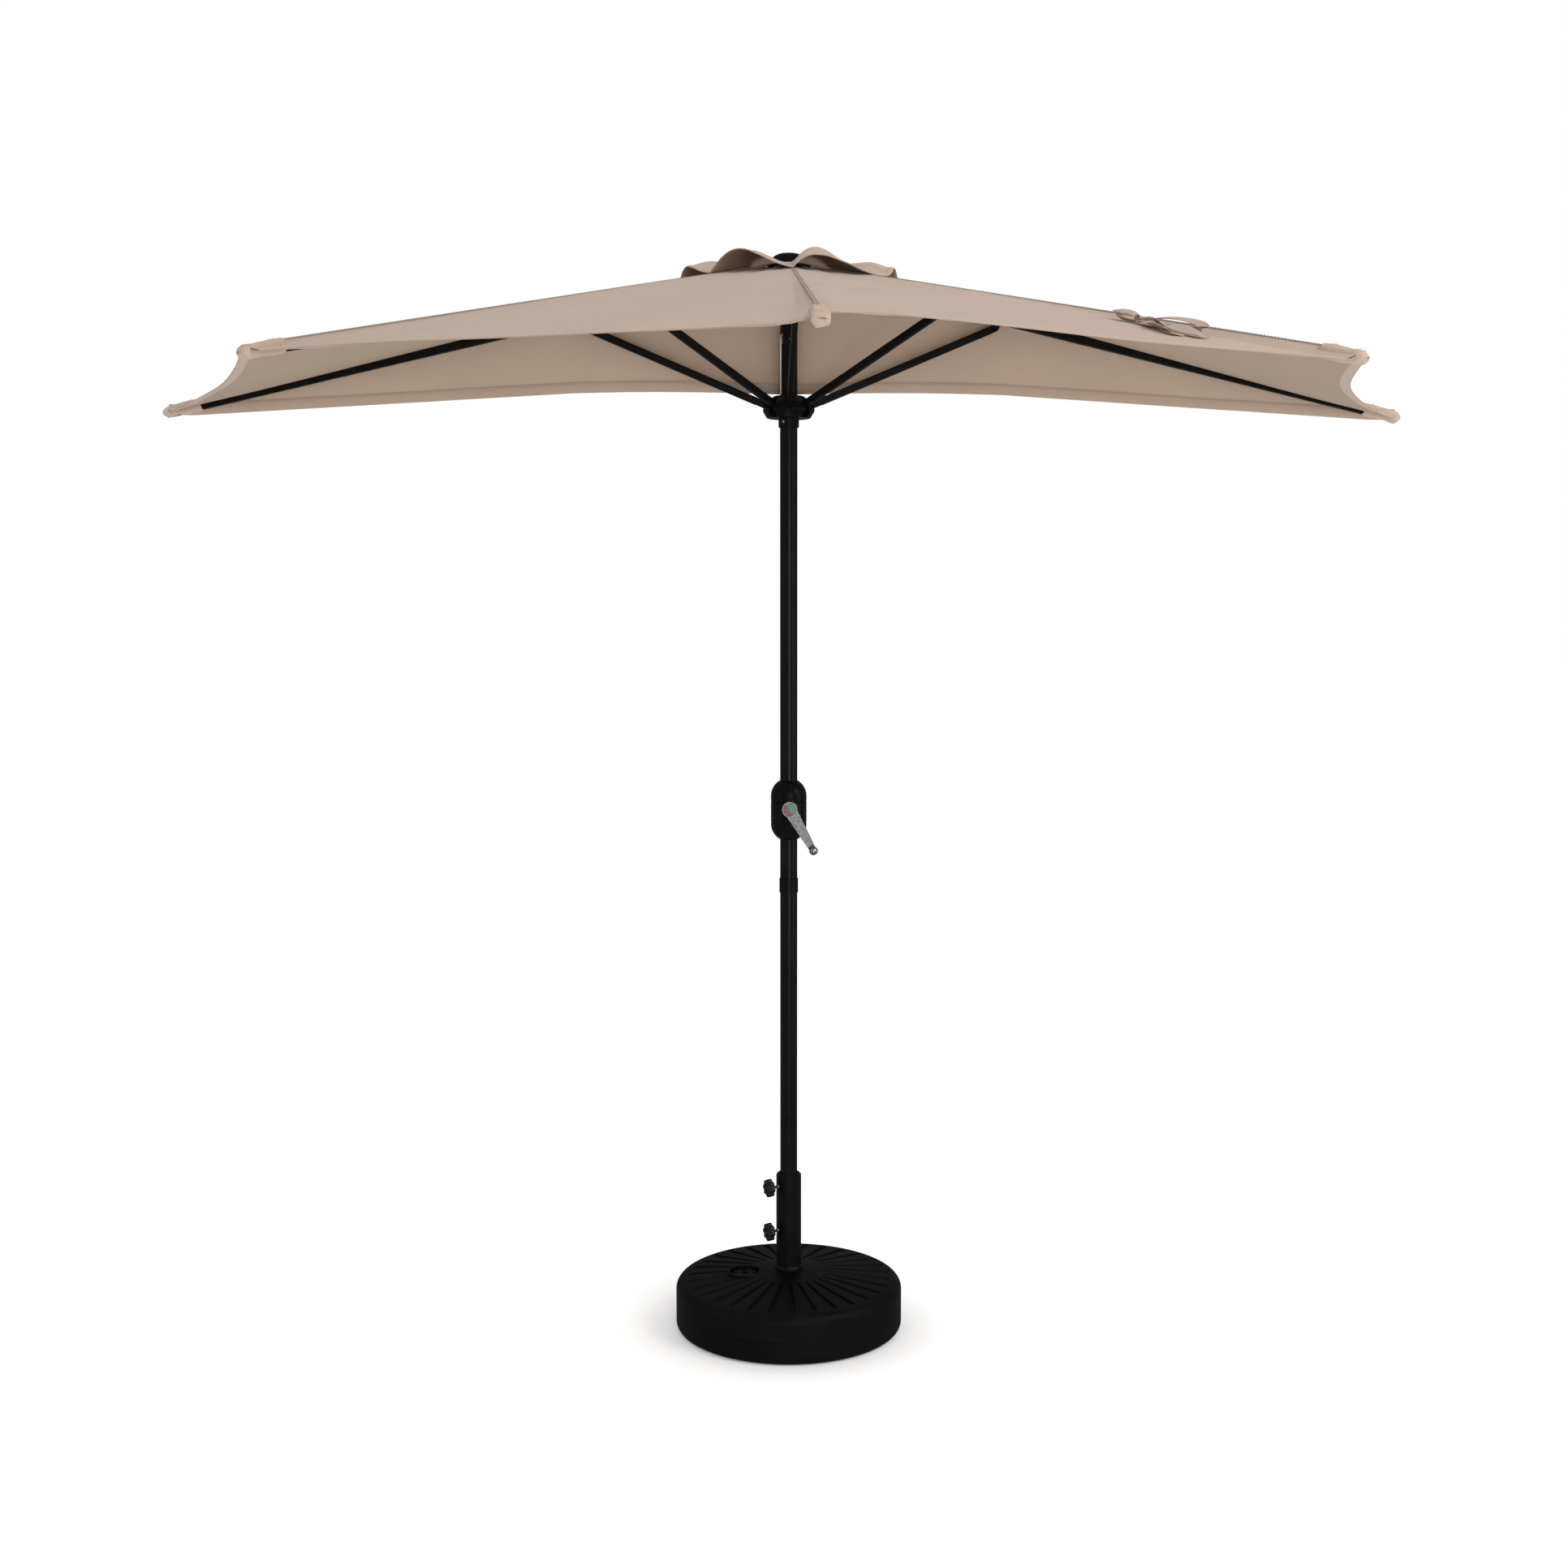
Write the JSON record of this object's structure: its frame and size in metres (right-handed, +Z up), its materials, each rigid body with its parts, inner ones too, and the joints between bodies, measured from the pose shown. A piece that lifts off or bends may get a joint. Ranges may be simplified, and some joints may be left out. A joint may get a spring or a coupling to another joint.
{
  "type": "half-round patio umbrella with base",
  "caption": "Half-round crank-lift patio umbrella with vented fabric canopy, tilt-free steel pole and a fillable round plastic base with clamp knobs.",
  "frame": {"origin": "on the floor under the pole's axis, in the plane of the base's flat underside", "axes": "+Z up the pole; the canopy's flat side faces +Y and its middle rib points along -Y"},
  "size_m": [2.674, 1.59, 2.37],
  "materials": {
    "base_plastic": "fine moulded texture",
    "ballast": "loose sand",
    "cap_plastic": "satin",
    "gasket": "matt",
    "frame_paint": "satin powder coat",
    "black_plastic": "satin",
    "knob_plastic": "gloss",
    "housing_plastic": "satin",
    "steel": "bright",
    "coupler_steel": "plated",
    "chrome": "polished",
    "cover_plastic": "two-tone",
    "cord": "braided",
    "canopy_fabric": "plain weave",
    "strap_fabric": "plain weave"
  },
  "bodies": {
    "base": {"base_tank": "base_plastic", "ballast_fill": "ballast", "filler_gasket": "gasket", "base_sleeve": "frame_paint", "sleeve_insert": "black_plastic", "clamp_nuts": "steel"},
    "filler_cap": {"filler_cap": "cap_plastic"},
    "knob_upper": {"knob_upper": "knob_plastic", "knob_screw_upper": "steel"},
    "knob_lower": {"knob_lower": "knob_plastic", "knob_screw_lower": "steel"},
    "lower_pole": {"lower_pole": "frame_paint", "pole_foot_plug": "black_plastic", "pole_coupler": "coupler_steel", "joint_ring": "black_plastic"},
    "upper_pole": {"upper_pole": "frame_paint", "housing_left": "housing_plastic", "housing_right": "housing_plastic", "housing_screws": "steel", "crank_bush": "housing_plastic", "brake_spring": "steel", "upper_hub": "black_plastic", "hub_pins": "steel", "pulley_pin": "steel", "lift_cord_inner": "cord", "lift_cord_outer": "cord"},
    "finial": {"finial": "black_plastic"},
    "pulley": {"cord_pulley": "black_plastic"},
    "crank": {"crank_shaft": "steel", "spool": "black_plastic", "crank_arm": "chrome", "crank_cover": "cover_plastic", "grip_pin": "steel"},
    "grip": {"crank_grip": "chrome"},
    "runner": {"runner": "black_plastic", "runner_screw": "steel"},
    "rib_1": {"rib_1": "frame_paint", "rib_fittings_1": "black_plastic", "canopy_1": "canopy_fabric", "back_flap_left": "canopy_fabric"},
    "rib_2": {"rib_2": "frame_paint", "rib_fittings_2": "black_plastic", "canopy_2": "canopy_fabric"},
    "rib_3": {"rib_3": "frame_paint", "rib_fittings_3": "black_plastic", "canopy_3": "canopy_fabric"},
    "rib_4": {"rib_4": "frame_paint", "rib_fittings_4": "black_plastic", "canopy_4": "canopy_fabric", "tie_strap": "strap_fabric"},
    "rib_5": {"rib_5": "frame_paint", "rib_fittings_5": "black_plastic", "canopy_5": "canopy_fabric", "back_flap_right": "canopy_fabric"},
    "strut_1": {"strut_1": "frame_paint"},
    "strut_2": {"strut_2": "frame_paint"},
    "strut_3": {"strut_3": "frame_paint"},
    "strut_4": {"strut_4": "frame_paint"},
    "strut_5": {"strut_5": "frame_paint"}
  },
  "joints": [
    {"name": "pole_lift", "type": "slide", "parent": "base", "child": "lower_pole", "axis": [0, 0, 1], "range_m": [0, 0.3]},
    {"name": "canopy_turn", "type": "hinge", "parent": "lower_pole", "child": "upper_pole", "pos_m": [0, 0, 0.999], "axis": [0, 0, 1], "continuous": true},
    {"name": "rib_1_fold", "type": "hinge", "parent": "upper_pole", "child": "rib_1", "pos_m": [-0.045, 0, 2.33], "axis": [0, -1, 0], "range_deg": [0, 70.71], "deforming": ["canopy_1", "back_flap_left"]},
    {"name": "rib_2_fold", "type": "hinge", "parent": "upper_pole", "child": "rib_2", "pos_m": [-0.03182, -0.03182, 2.33], "axis": [0.7071, -0.7071, 0], "range_deg": [0, 70.71], "deforming": ["canopy_2"]},
    {"name": "rib_3_fold", "type": "hinge", "parent": "upper_pole", "child": "rib_3", "pos_m": [0, -0.045, 2.33], "axis": [1, 0, 0], "range_deg": [0, 70.7], "deforming": ["canopy_3"]},
    {"name": "rib_4_fold", "type": "hinge", "parent": "upper_pole", "child": "rib_4", "pos_m": [0.03182, -0.03182, 2.33], "axis": [0.7071, 0.7071, 0], "range_deg": [0, 70.71], "deforming": ["canopy_4"]},
    {"name": "rib_5_fold", "type": "hinge", "parent": "upper_pole", "child": "rib_5", "pos_m": [0.045, 0, 2.33], "axis": [0, 1, 0], "range_deg": [0, 70.71], "deforming": ["canopy_5", "back_flap_right"]},
    {"name": "strut_1_fold", "type": "hinge", "parent": "rib_1", "child": "strut_1", "pos_m": [-0.44839, 0, 2.21512], "axis": [0, 1, 0], "range_deg": [0, 134.65]},
    {"name": "strut_2_fold", "type": "hinge", "parent": "rib_2", "child": "strut_2", "pos_m": [-0.31706, -0.31706, 2.21512], "axis": [-0.7071, 0.7071, 0], "range_deg": [0, 134.65]},
    {"name": "strut_3_fold", "type": "hinge", "parent": "rib_3", "child": "strut_3", "pos_m": [0, -0.44839, 2.21512], "axis": [-1, 0, 0], "range_deg": [0, 134.65]},
    {"name": "strut_4_fold", "type": "hinge", "parent": "rib_4", "child": "strut_4", "pos_m": [0.31706, -0.31706, 2.21512], "axis": [-0.7071, -0.7071, 0], "range_deg": [0, 134.65]},
    {"name": "strut_5_fold", "type": "hinge", "parent": "rib_5", "child": "strut_5", "pos_m": [0.44839, 0, 2.21512], "axis": [0, -1, 0], "range_deg": [0, 134.65]},
    {"name": "runner_slide", "type": "slide", "parent": "upper_pole", "child": "runner", "axis": [0, 0, -1], "range_m": [0, 0.57118], "deforming": ["lift_cord_outer"]},
    {"name": "crank_turn", "type": "hinge", "parent": "upper_pole", "child": "crank", "pos_m": [0, -0.05, 1.1725], "axis": [0, 1, 0], "range_deg": [0, 3240.5]},
    {"name": "pulley_spin", "type": "hinge", "parent": "upper_pole", "child": "pulley", "pos_m": [-0.0083, -0.00722, 2.188], "axis": [0.6561, -0.7547, 0], "continuous": true},
    {"name": "knob_upper_turn", "type": "hinge", "parent": "base", "child": "knob_upper", "pos_m": [-0.03973, -0.02113, 0.3205], "axis": [-0.8829, -0.4695, 0], "continuous": true},
    {"name": "knob_lower_turn", "type": "hinge", "parent": "base", "child": "knob_lower", "pos_m": [-0.03973, -0.02113, 0.2205], "axis": [-0.8829, -0.4695, 0], "continuous": true},
    {"name": "filler_cap_turn", "type": "hinge", "parent": "base", "child": "filler_cap", "pos_m": [-0.099, 0, 0.113], "axis": [0, 0, 1], "continuous": true},
    {"name": "finial_turn", "type": "hinge", "parent": "upper_pole", "child": "finial", "pos_m": [0, 0, 2.3446], "axis": [0, 0, 1], "continuous": true},
    {"name": "grip_spin", "type": "hinge", "parent": "crank", "child": "grip", "pos_m": [0.051, -0.08, 1.08417], "axis": [0, -1, 0], "continuous": true}
  ],
  "couplings": [
    {"joint": "rib_1_fold", "follows": "rib_3_fold", "ratio": 1},
    {"joint": "rib_2_fold", "follows": "rib_3_fold", "ratio": 1},
    {"joint": "rib_4_fold", "follows": "rib_3_fold", "ratio": 1},
    {"joint": "rib_5_fold", "follows": "rib_3_fold", "ratio": 1},
    {"joint": "strut_1_fold", "follows": "rib_3_fold", "ratio": 1.9043},
    {"joint": "strut_2_fold", "follows": "rib_3_fold", "ratio": 1.9043},
    {"joint": "strut_3_fold", "follows": "rib_3_fold", "ratio": 1.9043},
    {"joint": "strut_4_fold", "follows": "rib_3_fold", "ratio": 1.9043},
    {"joint": "strut_5_fold", "follows": "rib_3_fold", "ratio": 1.9043},
    {"joint": "runner_slide", "follows": "rib_3_fold", "m_per_rad": 0.46281},
    {"joint": "crank_turn", "follows": "rib_3_fold", "ratio": 45.827}
  ]
}
